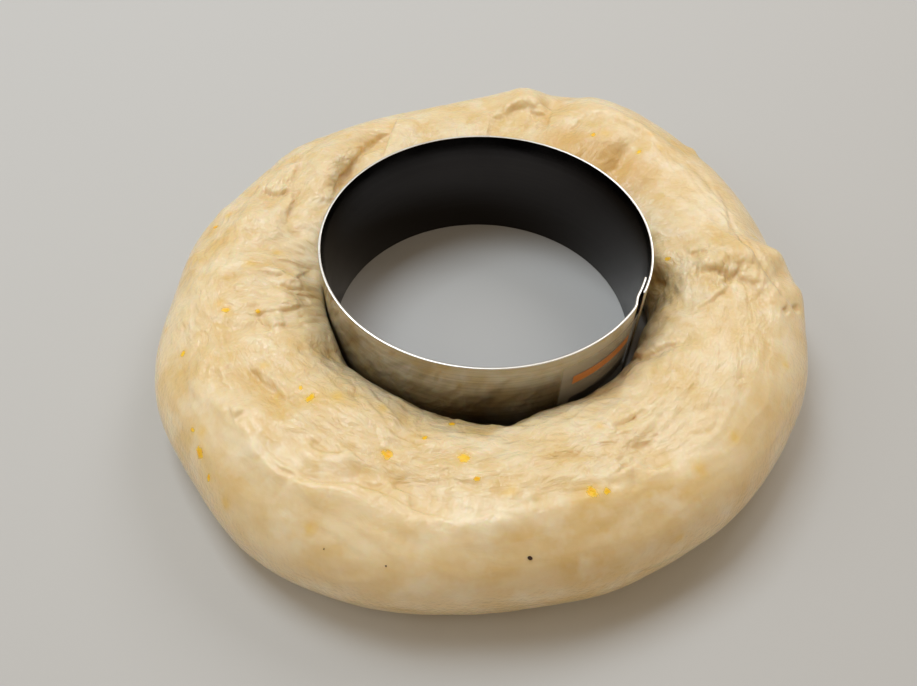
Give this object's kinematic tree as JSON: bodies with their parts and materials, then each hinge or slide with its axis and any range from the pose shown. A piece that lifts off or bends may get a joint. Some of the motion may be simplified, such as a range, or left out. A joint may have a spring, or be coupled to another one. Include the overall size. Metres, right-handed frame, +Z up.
{
  "type": "unbaked king cake",
  "caption": "Ring of raw sweet dough shaped round a plain steel pastry ring that keeps its hole open, ready to rise and bake.",
  "frame": {"origin": "middle of the outline, on the surface that the cake stands on", "axes": "+Z up, +Y from the front of the picture to its back, +X to the right"},
  "size_m": [0.198, 0.2072, 0.04],
  "materials": {
    "dough": "soft satin skin of raw dough",
    "steel": "polished, with fine rolling marks"
  },
  "bodies": {
    "root": {"dough_ring": "dough", "steel_ring": "steel"}
  },
  "joints": []
}
